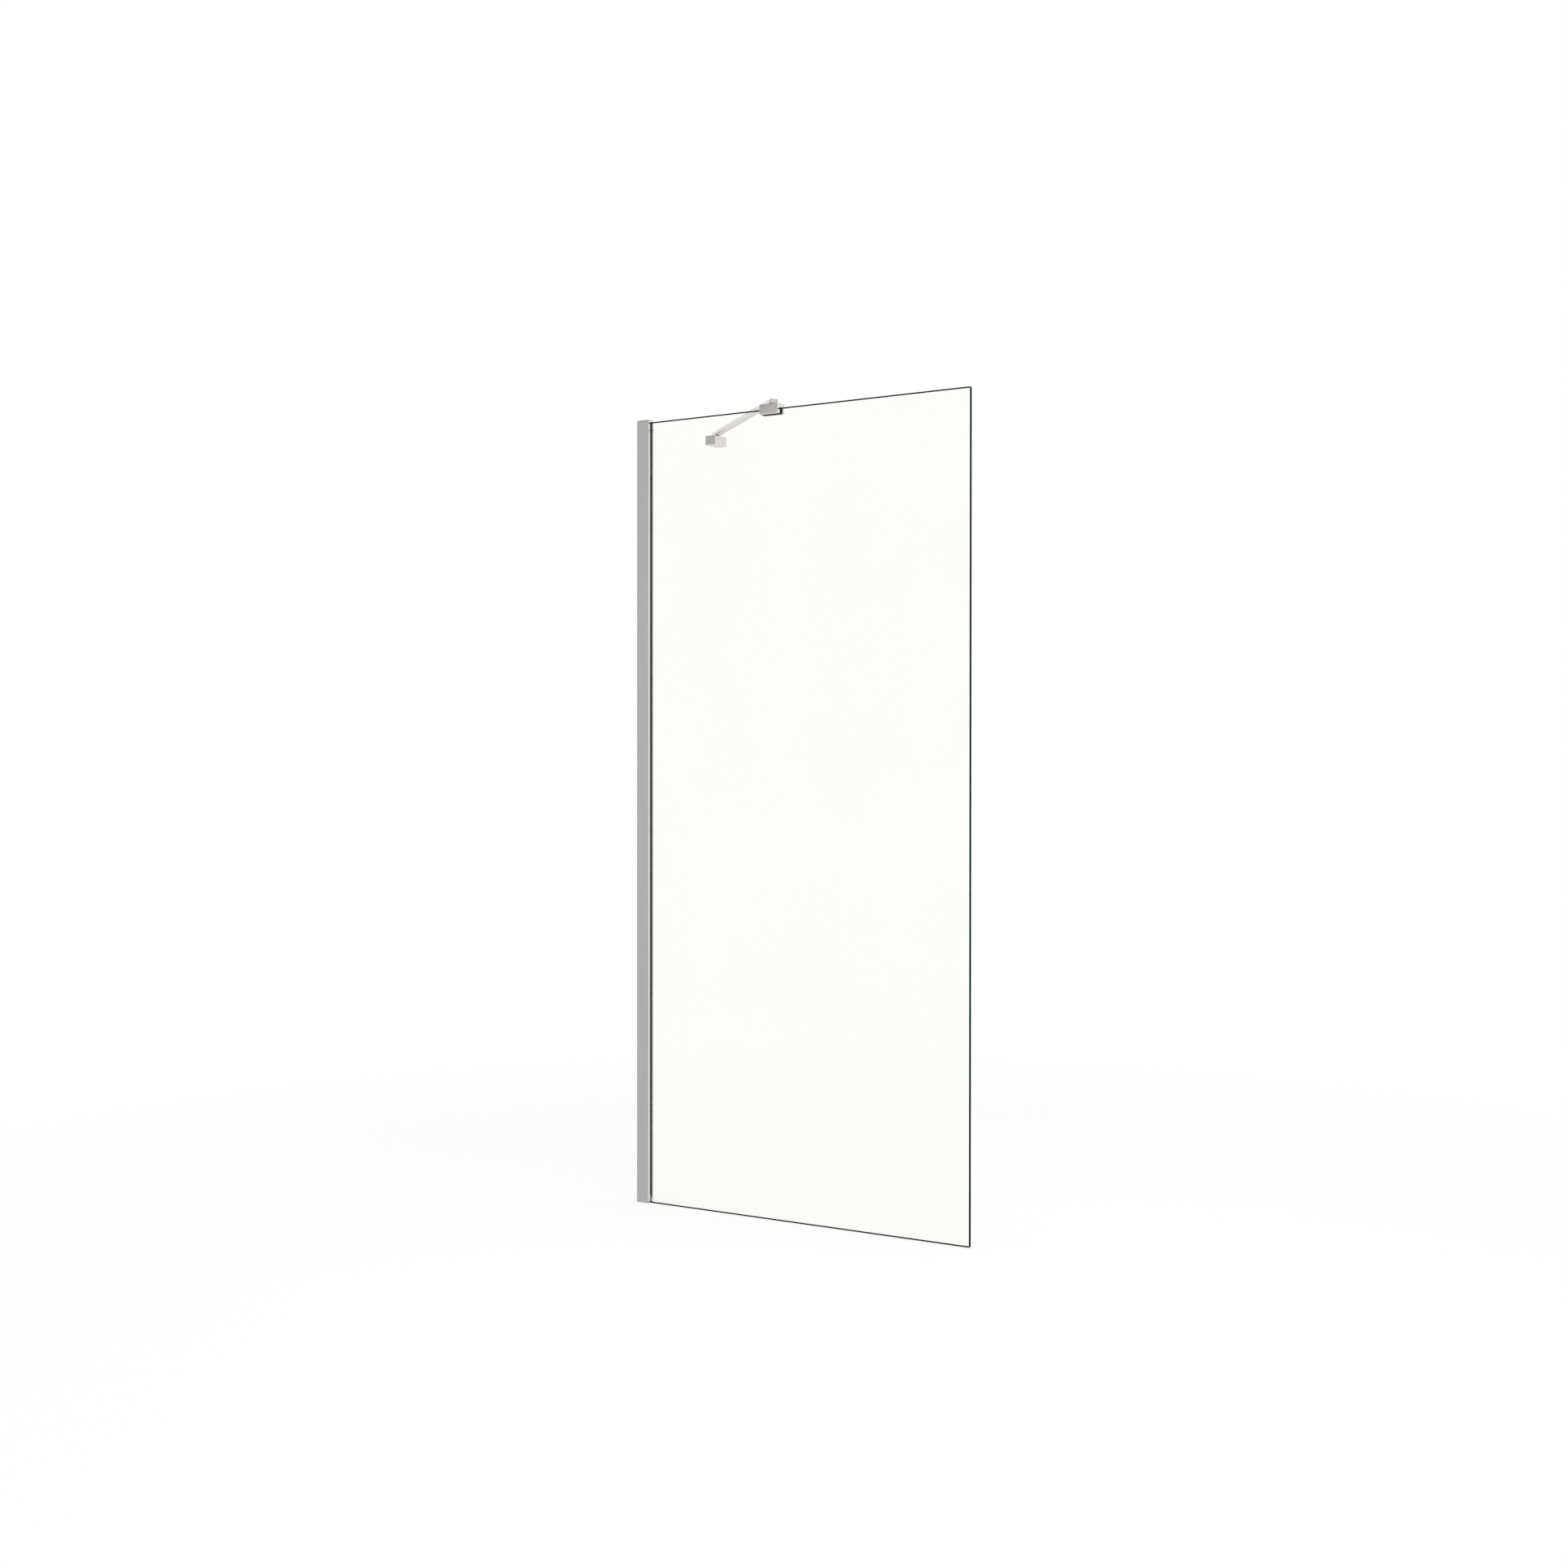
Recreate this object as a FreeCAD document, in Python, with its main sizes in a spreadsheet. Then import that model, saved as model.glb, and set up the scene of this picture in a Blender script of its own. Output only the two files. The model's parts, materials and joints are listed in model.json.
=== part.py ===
import FreeCAD, Part
import os
import re
import Sketcher

# A fixed shower screen: a glass panel in a wall channel, steadied at its top edge by a bar to the wall.
# Millimetres. X runs out from the wall along the glass, Y from the front of the glass to the bar's side,
# Z up. The origin is on the wall, in the middle plane of the glass, at the bottom end of the channel.

# Driving sizes: alias, value and what it measures
SIZES = [
    ("overall_height", 1900, "channel with its top cap"),
    ("overall_width", 903, "wall to the free edge of the glass"),
    # Glass
    ("glass_thickness", 8, "toughened sheet"),
    ("glass_lift", 0.4, "lower edge of the glass above the end of the channel"),
    ("glass_headroom", 0.5, "upper edge of the glass below the cap"),
    ("glass_insertion", 17, "depth of the glass inside the channel"),
    ("glass_corner", 3, "radius of the free corners"),
    ("glass_arris", 1.5, "ground bevel along every edge"),
    # Wall channel
    ("channel_depth", 35, "wall to the mouth"),
    ("channel_web", 2, "wall that lies on the building"),
    ("channel_side", 1.5, "wall of each side"),
    ("channel_lip", 2, "wall that turns in at the mouth"),
    ("channel_pocket", 2.6, "space between each jaw and the side beside it"),
    ("channel_edge", 0.6, "radius of the outer edges"),
    ("jaw_length", 10, "depth of the jaw that holds a gasket"),
    ("groove_width", 1.6, "groove in the jaw for the gasket's rib"),
    ("groove_depth", 0.7, "depth of that groove"),
    ("groove_floor", 0.7, "metal of the jaw behind the groove"),
    ("groove_inset", 4, "mouth to the groove"),
    ("channel_hole", 6, "diameter of the wall screw holes"),
    ("channel_hole_end", 152.5, "end of the channel to the nearest hole"),
    ("channel_hole_count", 4, "holes in the web, evenly spaced"),
    # Gaskets
    ("gasket_thickness", 0.9, "rubber between the jaw and the glass"),
    ("gasket_clearance", 0.1, "rubber to glass"),
    ("gasket_nose", 0.9, "bead that stands out of the mouth"),
    ("gasket_bevel", 0.6, "slope of the bead towards the lip"),
    ("gasket_fit", 0.05, "rib to groove"),
    ("gasket_gap", 9, "lower end of the rubber above the end plug"),
    # Cap and plug of the channel
    ("cap_thickness", 5, "plate of the top cap"),
    ("cap_edge", 0.8, "radius of the cap's upper edges"),
    ("cap_leg_length", 12, "legs inside the channel"),
    ("cap_leg_thickness", 3, "leg against the web"),
    ("cap_fit", 0.2, "leg to channel"),
    ("plug_height", 11, "end plug in the mouth"),
    ("plug_fork", 3, "height of the fork that joins the plug's walls round the glass"),
    ("plug_fin", 2, "wall of the fin against the web"),
    ("plug_fit", 0.1, "plug to channel and to glass"),
    # Blocks at the two ends of the bar
    ("block_height", 23.5, "height of the clamp and of the bracket"),
    ("block_grip", 13.5, "reach of the clamp's jaws below the top of the glass"),
    ("block_edge", 1.5, "radius of their outer edges"),
    ("clamp_length", 51, "along the glass"),
    ("clamp_depth", 30, "across the glass"),
    ("liner_thickness", 2.4, "rubber on each side of the clamp's slot"),
    ("liner_bridge", 0.9, "rubber over the top of the glass"),
    ("liner_clearance", 0.1, "rubber to glass"),
    ("liner_nose", 0.8, "rubber below the jaws"),
    ("plate_length", 40, "pressure plate along the glass"),
    ("plate_height", 8, "pressure plate"),
    ("plate_thickness", 2, "pressure plate"),
    ("plate_fit", 0.2, "plate to its pocket"),
    ("set_screw", 6, "diameter of the set screws"),
    ("set_screw_spacing", 28, "from screw to screw"),
    ("set_screw_recess", 0.8, "end of the screw below the face of the jaw"),
    ("set_screw_socket", 3, "across the flats of the hexagon"),
    ("set_screw_socket_depth", 2.5, "depth of the hexagon"),
    ("thread_clearance", 0.05, "screw to tapped hole"),
    # Support bar
    ("bar_width", 20, "across the section"),
    ("bar_height", 10, "height of the section"),
    ("bar_wall", 1.5, "wall of the tube"),
    ("bar_radius", 4, "outer radius of the section"),
    ("bore_radius", 2.5, "inner radius of the section"),
    ("bar_end_edge", 1, "radius round each end of the tube"),
    ("bar_span", 480, "pivot to pivot"),
    ("bar_front_overhang", 14, "clamp's pivot to the end of the tube"),
    ("bar_rear_overhang", 9, "bracket's pivot to the end of the tube"),
    ("bar_angle", 40, "degrees between the bar and the glass"),
    ("bar_plug_length", 3.5, "plug in each end of the tube"),
    ("bar_plug_recess", 0.4, "face of the plug inside the end of the tube"),
    ("bar_plug_fit", 0.1, "plug and insert to the bore of the tube"),
    ("insert_gap", 0.5, "threaded block inside the tube to the nearer plug"),
    # Pivots
    ("spacer_diameter", 15, "neck between block and bar"),
    ("spacer_height", 1.2, "neck between block and bar"),
    ("spacer_edge", 0.3, "bevel of the neck's rims"),
    ("pivot_diameter", 6, "shank of the pivot screw"),
    ("pivot_clearance", 0.05, "shank to bore"),
    ("pivot_head", 9, "diameter of the head"),
    ("pivot_head_height", 3, "height of the head"),
    ("pivot_head_clearance", 0.4, "head to its counterbore"),
    ("pivot_head_gap", 0.4, "room for the head between its seat and the liner"),
    ("pivot_socket", 4, "across the flats of the hexagon"),
    ("pivot_socket_depth", 1.8, "depth of the hexagon"),
    ("swivel_gap", 0.1, "bar to neck, and head to seat"),
    # Wall bracket
    ("bracket_length", 52, "along the wall"),
    ("bracket_depth", 30, "out from the wall"),
    ("bracket_wall", 2.5, "wall of the cover"),
    ("base_thickness", 4, "plate on the wall"),
    ("base_fit", 0.3, "plate to the cover"),
    ("base_hole", 5.5, "diameter of the wall screw holes"),
    ("base_hole_spacing", 30, "from hole to hole"),
    ("lug_length", 10, "lug on the plate that the grub screw holds"),
    ("lug_width", 14, "along the wall"),
    ("lug_height", 6, "height of the lug"),
    ("lug_floor", 2.5, "lug above the floor of the cover"),
    ("grub_screw", 4, "diameter of the screw under the cover"),
    ("grub_recess", 0.3, "end of the screw inside the face of the cover"),
    ("grub_socket", 2, "across the flats of the hexagon"),
    ("grub_socket_depth", 1.6, "depth of the hexagon"),
]

# Sizes that follow from the driving ones
DERIVED = {
    "channel_length": "overall_height - cap_thickness",
    "glass_top": "channel_length - glass_headroom",
    "glass_height": "glass_top - glass_lift",
    "glass_start": "channel_depth - glass_insertion",
    "slot_half": "glass_thickness / 2 + gasket_clearance + gasket_thickness",
    "jaw_back": "slot_half + groove_depth + groove_floor",
    "cavity_half": "jaw_back + channel_pocket",
    "channel_half": "cavity_half + channel_side",
    "jaw_start": "channel_depth - jaw_length",
    "gasket_start": "plug_height + gasket_gap",
    "channel_hole_span": "channel_length - 2 * channel_hole_end",
    "clamp_ceiling": "liner_bridge + liner_clearance",
    "clamp_slot_half": "glass_thickness / 2 + liner_clearance + liner_thickness",
    "block_top": "block_height - block_grip",
    "jaw_middle": "-block_grip / 2",
    "head_seat": "clamp_ceiling + pivot_head_height + pivot_head_gap",
    "bar_floor": "block_top + spacer_height + swivel_gap",
    "bar_length": "bar_span + bar_front_overhang + bar_rear_overhang",
    "bore_half": "bar_width / 2 - bar_wall",
    "bore_floor": "bar_floor + bar_wall",
    "bore_height": "bar_height - 2 * bar_wall",
    "bar_overhang": "min(bar_front_overhang; bar_rear_overhang)",
    "insert_reach": "bar_overhang - bar_plug_recess - bar_plug_length - insert_gap",
    "bracket_roof": "block_top - bracket_wall",
    "bracket_floor": "bracket_wall - block_grip",
    "bracket_half": "bracket_length / 2 - bracket_wall",
    "lug_bottom": "bracket_floor + lug_floor",
    "lug_middle": "base_thickness + lug_length / 2",
    "pivot_from_wall": "bracket_depth / 2",
    "clamp_from_wall": "pivot_from_wall + bar_span * cos(bar_angle * 1 deg)",
    "bracket_from_glass": "bar_span * sin(bar_angle * 1 deg)",
}

# The first row of the sheet is a heading
FIRST_ROW = 2

# Half the width across the corners of a hexagon, over its width across the flats
HEX_REACH = 3 ** -0.5

# How close two coordinates lie to count as one
TOUCH = 1e-5

doc = FreeCAD.newDocument("shower_screen")
sheet = doc.addObject("Spreadsheet::Sheet", "Sizes")
for column, heading in zip("ABC", ("size", "value", "what it measures")):
    sheet.set(column + str(FIRST_ROW - 1), heading)
for row, (alias, number, meaning) in enumerate(SIZES, FIRST_ROW):
    sheet.set(f"A{row}", alias)
    sheet.set(f"B{row}", str(number))
    sheet.setAlias(f"B{row}", alias)
    sheet.set(f"C{row}", meaning)
doc.recompute()
ALIASES = {alias for alias, number, meaning in SIZES}
nodes = []


def formula(text):
    """The text with derived names written out and each alias as a cell of the sheet."""
    def cell(match):
        word = match.group()
        if word in DERIVED:
            return "(" + formula(DERIVED[word]) + ")"
        return "Sizes." + word if word in ALIASES else word
    return re.sub(r"[a-z][a-z_]*", cell, str(text))


def value(text):
    """The number that a formula gives with the sheet as it stands."""
    return float(sheet.evalExpression(formula(text)))


def bind(item, path, text):
    """Tie one property of an object to a formula."""
    item.setExpression(path, formula(text))


def new_body(name, node=True):
    body = doc.addObject("PartDesign::Body", name)
    body.Label = name
    if node:
        nodes.append(body)
    return body


def new_sketch(body, role, lift="0"):
    """A sketch on one of the body's own origin planes, lifted along the plane's normal."""
    sketch = body.newObject("Sketcher::SketchObject", body.Name + "_sketch")
    plane = next(item for item in body.Origin.OriginFeatures if item.Role == role)
    sketch.AttachmentSupport = (plane, [""])
    sketch.MapMode = "FlatFace"
    bind(sketch, "AttachmentOffset.Base.z", lift)
    return sketch


def fix_point(sketch, edge, end, point):
    """Hold one point of a sketch at two formulas from the sketch's origin."""
    for kind, text in zip(("DistanceX", "DistanceY"), point):
        index = sketch.addConstraint(Sketcher.Constraint(kind, -1, 1, edge, end, value(text)))
        bind(sketch, f"Constraints[{index}]", text)


def outline(sketch, points):
    """A closed outline of straight edges through points that are pairs of formulas."""
    spots = [FreeCAD.Vector(value(x), value(y), 0) for x, y in points]
    first = sketch.GeometryCount
    count = len(points)
    for index in range(count):
        sketch.addGeometry(Part.LineSegment(spots[index], spots[(index + 1) % count]), False)
    for index in range(count):
        following = first + (index + 1) % count
        sketch.addConstraint(Sketcher.Constraint("Coincident", first + index, 2, following, 1))
    for index, point in enumerate(points):
        fix_point(sketch, first + index, 1, point)


def rectangle(sketch, low_x, low_y, high_x, high_y):
    outline(sketch, [(low_x, low_y), (high_x, low_y), (high_x, high_y), (low_x, high_y)])


def circle(sketch, x, y, diameter):
    centre = FreeCAD.Vector(value(x), value(y), 0)
    ring = Part.Circle(centre, FreeCAD.Vector(0, 0, 1), value(diameter) / 2)
    edge = sketch.addGeometry(ring, False)
    fix_point(sketch, edge, 3, (x, y))
    index = sketch.addConstraint(Sketcher.Constraint("Diameter", edge, value(diameter)))
    bind(sketch, f"Constraints[{index}]", diameter)


def hexagon(sketch, x, y, flats):
    """A hexagon with a corner on each side along the sketch's first axis."""
    reach = f"({flats}) * {HEX_REACH}"
    corners = [(1, 0), (0.5, 0.5), (-0.5, 0.5), (-1, 0), (-0.5, -0.5), (0.5, -0.5)]
    outline(sketch, [(f"{x} + {across} * {reach}", f"{y} + {up} * ({flats})") for across, up in corners])


def pad(body, sketch, length, back=False, both=False):
    """Add material along the sketch's normal, against it, or half to each side."""
    feature = body.newObject("PartDesign::Pad", body.Name + "_pad")
    feature.Profile = sketch
    bind(feature, "Length", length)
    feature.Reversed = back
    if both:
        feature.SideType = "Symmetric"
    doc.recompute()
    return feature


def pocket(body, sketch, length=None, along=False):
    """Cut against the sketch's normal, or along it, to a depth or right through."""
    before = body.Tip.Shape.Volume
    feature = body.newObject("PartDesign::Pocket", body.Name + "_pocket")
    feature.Profile = sketch
    feature.Reversed = along
    if length is None:
        feature.Type = "ThroughAll"
    else:
        bind(feature, "Length", length)
    doc.recompute()
    if feature.Shape.Volume > before - TOUCH:
        raise RuntimeError(f"a cut in {body.Label} takes nothing away")
    return feature


def revolve(body, points):
    """A turned piece: an outline of radius and height, round the upright axis."""
    sketch = new_sketch(body, "XZ_Plane")
    outline(sketch, points)
    feature = body.newObject("PartDesign::Revolution", body.Name + "_turned")
    feature.Profile = sketch
    feature.ReferenceAxis = (sketch, ["V_Axis"])
    feature.Angle = 360
    doc.recompute()
    return feature


def edge_names(body, test):
    """Names of the edges of the body, as built so far, that pass a test on their two ends."""
    names = []
    for number, edge in enumerate(body.Tip.Shape.Edges, 1):
        ends = [vertex.Point for vertex in edge.Vertexes]
        if test(ends):
            names.append(f"Edge{number}")
    return names


def lies_on(ends, axis, place):
    """True where every end of an edge has this coordinate on the axis."""
    return all(abs(end[axis] - place) < TOUCH for end in ends)


def rim_edges(body, skip=()):
    """The edges where two sides of the body's bounding box meet, apart from those on a skipped side."""
    box = body.Tip.Shape.BoundBox
    sides = {"left": (0, box.XMin), "right": (0, box.XMax), "front": (1, box.YMin), "back": (1, box.YMax),
             "bottom": (2, box.ZMin), "top": (2, box.ZMax)}

    def test(ends):
        touched = [name for name, (axis, place) in sides.items() if lies_on(ends, axis, place)]
        return len(touched) == 2 and not set(touched) & set(skip)
    return edge_names(body, test)


def soften(body, kind, size, edges):
    """A Fillet or a Chamfer on the named edges of the body as built so far."""
    base = body.Tip
    feature = body.newObject("PartDesign::" + kind, f"{body.Name}_{kind.lower()}")
    feature.Base = (base, edges)
    bind(feature, {"Fillet": "Radius", "Chamfer": "Size"}[kind], size)
    doc.recompute()


def place(body, x="0", y="0", z="0"):
    for axis, text in zip("xyz", (x, y, z)):
        bind(body, f"Placement.Base.{axis}", text)


def place_on_bar(body):
    """Stand a piece in the bar's own frame: the clamp's pivot, with X along the bar to the wall."""
    body.Placement = FreeCAD.Placement(FreeCAD.Vector(), FreeCAD.Rotation(FreeCAD.Vector(0, 0, 1), 90))
    bind(body, "Placement.Rotation.Angle", "180 - bar_angle")
    place(body, x="clamp_from_wall", z="glass_top")


def place_on_clamp(body, x="0"):
    place(body, x=f"clamp_from_wall + {x}", z="glass_top")


def place_on_bracket(body, x="0"):
    place(body, x=x, y="bracket_from_glass", z="glass_top")


def gather(name, bodies):
    """Several separate solids under one name."""
    group = doc.addObject("Part::Compound", name)
    group.Label = name
    group.Links = bodies
    nodes.append(group)


def make_wall_channel():
    body = new_body("wall_channel")
    half = [
        ("0", "channel_half"),
        ("channel_depth", "channel_half"),
        ("channel_depth", "slot_half"),
        ("channel_depth - groove_inset", "slot_half"),
        ("channel_depth - groove_inset", "slot_half + groove_depth"),
        ("channel_depth - groove_inset - groove_width", "slot_half + groove_depth"),
        ("channel_depth - groove_inset - groove_width", "slot_half"),
        ("jaw_start", "slot_half"),
        ("jaw_start", "jaw_back"),
        ("channel_depth - channel_lip", "jaw_back"),
        ("channel_depth - channel_lip", "cavity_half"),
        ("channel_web", "cavity_half"),
    ]
    other_half = [(x, f"-({y})") for x, y in reversed(half)]
    section = new_sketch(body, "XY_Plane")
    outline(section, half + other_half)
    pad(body, section, "channel_length")
    soften(body, "Fillet", "channel_edge", rim_edges(body, skip=("bottom", "top")))
    holes = new_sketch(body, "YZ_Plane")
    circle(holes, "0", "channel_hole_end", "channel_hole")
    first = pocket(body, holes, along=True)
    pattern = body.newObject("PartDesign::LinearPattern", "wall_channel_holes")
    pattern.Originals = [first]
    pattern.Direction = (holes, ["V_Axis"])
    bind(pattern, "Length", "channel_hole_span")
    bind(pattern, "Occurrences", "channel_hole_count")
    body.Tip = pattern
    doc.recompute()


def make_top_cap():
    body = new_body("channel_top_cap")
    plate = new_sketch(body, "XY_Plane")
    rectangle(plate, "0", "-channel_half", "channel_depth", "channel_half")
    pad(body, plate, "cap_thickness")
    soften(body, "Fillet", "channel_edge", rim_edges(body, skip=("bottom", "top")))
    top = value("cap_thickness")
    soften(body, "Fillet", "cap_edge", edge_names(body, lambda ends: lies_on(ends, 2, top)))
    legs = new_sketch(body, "XY_Plane")
    outer = "cavity_half - cap_fit"
    inner = "jaw_back + cap_fit"
    back = "channel_web + cap_fit"
    front = "channel_depth - channel_lip - cap_fit"
    rectangle(legs, back, f"-({outer})", f"{back} + cap_leg_thickness", outer)
    rectangle(legs, "jaw_start", inner, front, outer)
    rectangle(legs, "jaw_start", f"-({outer})", front, f"-({inner})")
    pad(body, legs, "cap_leg_length", back=True)
    place(body, z="channel_length")


def make_end_plug():
    body = new_body("channel_end_plug")
    back = "channel_web + plug_fit"
    shoulder = "jaw_start - plug_fit"
    wide = "cavity_half - plug_fit"
    narrow = "slot_half - plug_fit"
    inner = "glass_thickness / 2 + plug_fit"
    fork = new_sketch(body, "XY_Plane")
    half = [
        (f"{back} + plug_fin", inner),
        ("channel_depth", inner),
        ("channel_depth", narrow),
        (shoulder, narrow),
        (shoulder, wide),
        (back, wide),
    ]
    outline(fork, half + [(x, f"-({y})") for x, y in reversed(half)])
    pad(body, fork, "plug_fork")
    walls = new_sketch(body, "XY_Plane")
    rectangle(walls, "jaw_start", inner, "channel_depth", narrow)
    rectangle(walls, "jaw_start", f"-({narrow})", "channel_depth", f"-({inner})")
    rectangle(walls, back, f"-({wide})", f"{back} + plug_fin", wide)
    pad(body, walls, "plug_height")


def make_gasket(name, side):
    """A strip with a rib in the jaw's groove; side is 1 behind the glass and -1 in front of it."""
    body = new_body(name)
    inner = "glass_thickness / 2 + gasket_clearance"
    outer = "slot_half"
    rib = "slot_half + groove_depth - gasket_fit"
    rib_front = "channel_depth - groove_inset - gasket_fit"
    rib_back = "channel_depth - groove_inset - groove_width + gasket_fit"
    points = [
        ("jaw_start", inner),
        ("channel_depth + gasket_nose", inner),
        ("channel_depth + gasket_nose - gasket_bevel", outer),
        (rib_front, outer),
        (rib_front, rib),
        (rib_back, rib),
        (rib_back, outer),
        ("jaw_start", outer),
    ]
    section = new_sketch(body, "XY_Plane")
    outline(section, [(x, f"{side} * ({y})") for x, y in points])
    pad(body, section, "glass_top - gasket_start")
    place(body, z="gasket_start")


def make_glass_panel():
    body = new_body("glass_panel")
    sheet_outline = new_sketch(body, "XZ_Plane")
    rectangle(sheet_outline, "glass_start", "0", "overall_width", "glass_height")
    pad(body, sheet_outline, "glass_thickness", both=True)
    soften(body, "Fillet", "glass_corner", rim_edges(body, skip=("left", "front", "back")))
    face = value("glass_thickness / 2")
    edges = edge_names(body, lambda ends: lies_on(ends, 1, face) or lies_on(ends, 1, -face))
    soften(body, "Chamfer", "glass_arris", edges)
    place(body, z="glass_lift")


def round_block(body, axis, sharp, flat_side=None):
    """Round a block's outer edges, apart from those at the sharp places on the axis and its flat side."""
    corners = rim_edges(body, skip=("bottom", "top", flat_side))
    levels = (value("-block_grip"), value("block_top"))
    kept = [value(text) for text in sharp]

    def outer(ends):
        level = any(lies_on(ends, 2, height) for height in levels)
        return level and not any(lies_on(ends, axis, where) for where in kept)
    soften(body, "Fillet", "block_edge", corners + edge_names(body, outer))


def make_clamp_body():
    body = new_body("clamp_body")
    half = [
        ("clamp_depth / 2", "block_top"),
        ("clamp_depth / 2", "-block_grip"),
        ("clamp_slot_half", "-block_grip"),
        ("clamp_slot_half", "clamp_ceiling"),
    ]
    section = new_sketch(body, "YZ_Plane")
    outline(section, half + [(f"-({y})", z) for y, z in reversed(half)])
    pad(body, section, "clamp_length", both=True)
    round_block(body, 1, ("-clamp_slot_half", "clamp_slot_half"))
    recess = new_sketch(body, "XZ_Plane", lift="-clamp_slot_half")
    reach = "plate_length / 2 + plate_fit"
    rise = "plate_height / 2 + plate_fit"
    rectangle(recess, f"-({reach})", f"jaw_middle - ({rise})", reach, f"jaw_middle + {rise}")
    pocket(body, recess, "plate_thickness + plate_fit")
    taps = new_sketch(body, "XZ_Plane", lift="-clamp_slot_half")
    for side in ("-", ""):
        circle(taps, f"{side}set_screw_spacing / 2", "jaw_middle", "set_screw + 2 * thread_clearance")
    pocket(body, taps)
    seat = new_sketch(body, "XY_Plane", lift="clamp_ceiling")
    circle(seat, "0", "0", "pivot_head + 2 * pivot_head_clearance")
    pocket(body, seat, "head_seat - clamp_ceiling", along=True)
    bore = new_sketch(body, "XY_Plane")
    circle(bore, "0", "0", "pivot_diameter + 2 * pivot_clearance")
    pocket(body, bore, along=True)
    place_on_clamp(body)


def make_clamp_liner():
    body = new_body("clamp_liner")
    inner = "glass_thickness / 2 + liner_clearance"
    foot = "-block_grip - liner_nose"
    half = [
        ("clamp_slot_half", "clamp_ceiling"),
        ("clamp_slot_half", foot),
        (inner, foot),
        (inner, "liner_clearance"),
    ]
    section = new_sketch(body, "YZ_Plane")
    outline(section, half + [(f"-({y})", z) for y, z in reversed(half)])
    pad(body, section, "clamp_length", both=True)
    place_on_clamp(body)


def make_pressure_plate():
    body = new_body("clamp_pressure_plate")
    face = new_sketch(body, "XZ_Plane", lift="-clamp_slot_half")
    rectangle(face, "-plate_length / 2", "jaw_middle - plate_height / 2", "plate_length / 2",
              "jaw_middle + plate_height / 2")
    pad(body, face, "plate_thickness", back=True)
    place_on_clamp(body)


def make_set_screws():
    screws = []
    start = "clamp_slot_half + plate_thickness"
    for name, side in (("set_screw_near_wall", "-"), ("set_screw_far", "")):
        body = new_body(name, node=False)
        middle = f"{side}set_screw_spacing / 2"
        shank = new_sketch(body, "XZ_Plane", lift=f"-({start})")
        circle(shank, middle, "jaw_middle", "set_screw")
        pad(body, shank, f"clamp_depth / 2 - set_screw_recess - ({start})", back=True)
        socket = new_sketch(body, "XZ_Plane", lift="set_screw_recess - clamp_depth / 2")
        hexagon(socket, middle, "jaw_middle", "set_screw_socket")
        pocket(body, socket, "set_screw_socket_depth", along=True)
        place_on_clamp(body)
        screws.append(body)
    gather("clamp_set_screws", screws)


def make_spacer(name, stand, pivot):
    """The turned neck under the bar, round the pivot in the block's own frame."""
    body = new_body(name)
    bore = "pivot_diameter / 2 + pivot_clearance"
    rim = "spacer_diameter / 2"
    top = "block_top + spacer_height"
    revolve(body, [
        (bore, "block_top"),
        (f"{rim} - spacer_edge", "block_top"),
        (rim, "block_top + spacer_edge"),
        (rim, f"{top} - spacer_edge"),
        (f"{rim} - spacer_edge", top),
        (bore, top),
    ])
    stand(body, pivot)


def make_bar_tube():
    body = new_body("bar_tube")
    section = new_sketch(body, "YZ_Plane", lift="-bar_front_overhang")
    rectangle(section, "-bar_width / 2", "bar_floor", "bar_width / 2", "bar_floor + bar_height")
    pad(body, section, "bar_length")
    soften(body, "Fillet", "bar_radius", rim_edges(body, skip=("left", "right")))
    round_bore(body)
    soften(body, "Fillet", "bar_end_edge", tube_end_edges(body))
    holes = new_sketch(body, "XY_Plane", lift="bar_floor + bar_height / 2")
    for x in ("0", "bar_span"):
        circle(holes, x, "0", "pivot_diameter + 2 * thread_clearance")
    pocket(body, holes)
    place_on_bar(body)


def round_bore(body):
    """Cut the rounded bore of the tube along its whole length."""
    bore = new_sketch(body, "YZ_Plane", lift="-bar_front_overhang")
    rectangle(bore, "-bore_half", "bore_floor", "bore_half", "bore_floor + bore_height")
    pocket(body, bore, along=True)
    half = value("bore_half")
    low = value("bore_floor")
    levels = (low, low + value("bore_height"))

    def corner(ends):
        on_side = any(lies_on(ends, 1, side) for side in (-half, half))
        return on_side and any(lies_on(ends, 2, level) for level in levels)
    soften(body, "Fillet", "bore_radius", edge_names(body, corner))


def tube_end_edges(body):
    """The outer edges round both ends of the tube, without those of its bore."""
    tube_ends = (value("-bar_front_overhang"), value("bar_span + bar_rear_overhang"))
    middle = value("bar_floor + bar_height / 2")
    half_width = value("bore_half") + TOUCH
    half_height = value("bore_height / 2") + TOUCH

    def outer(ends):
        at_end = any(lies_on(ends, 0, end) for end in tube_ends)
        return at_end and any(abs(end.y) > half_width or abs(end.z - middle) > half_height for end in ends)
    return edge_names(body, outer)


def fill_bore(body, start, length):
    """A block that fills the bore of the tube over a length, less its fit."""
    section = new_sketch(body, "YZ_Plane", lift=start)
    rectangle(section, "bar_plug_fit - bore_half", "bore_floor + bar_plug_fit",
              "bore_half - bar_plug_fit", "bore_floor + bore_height - bar_plug_fit")
    pad(body, section, length)
    soften(body, "Fillet", "bore_radius", rim_edges(body, skip=("left", "right")))


def make_bar_plug(name, start):
    body = new_body(name)
    fill_bore(body, start, "bar_plug_length")
    place_on_bar(body)


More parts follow.
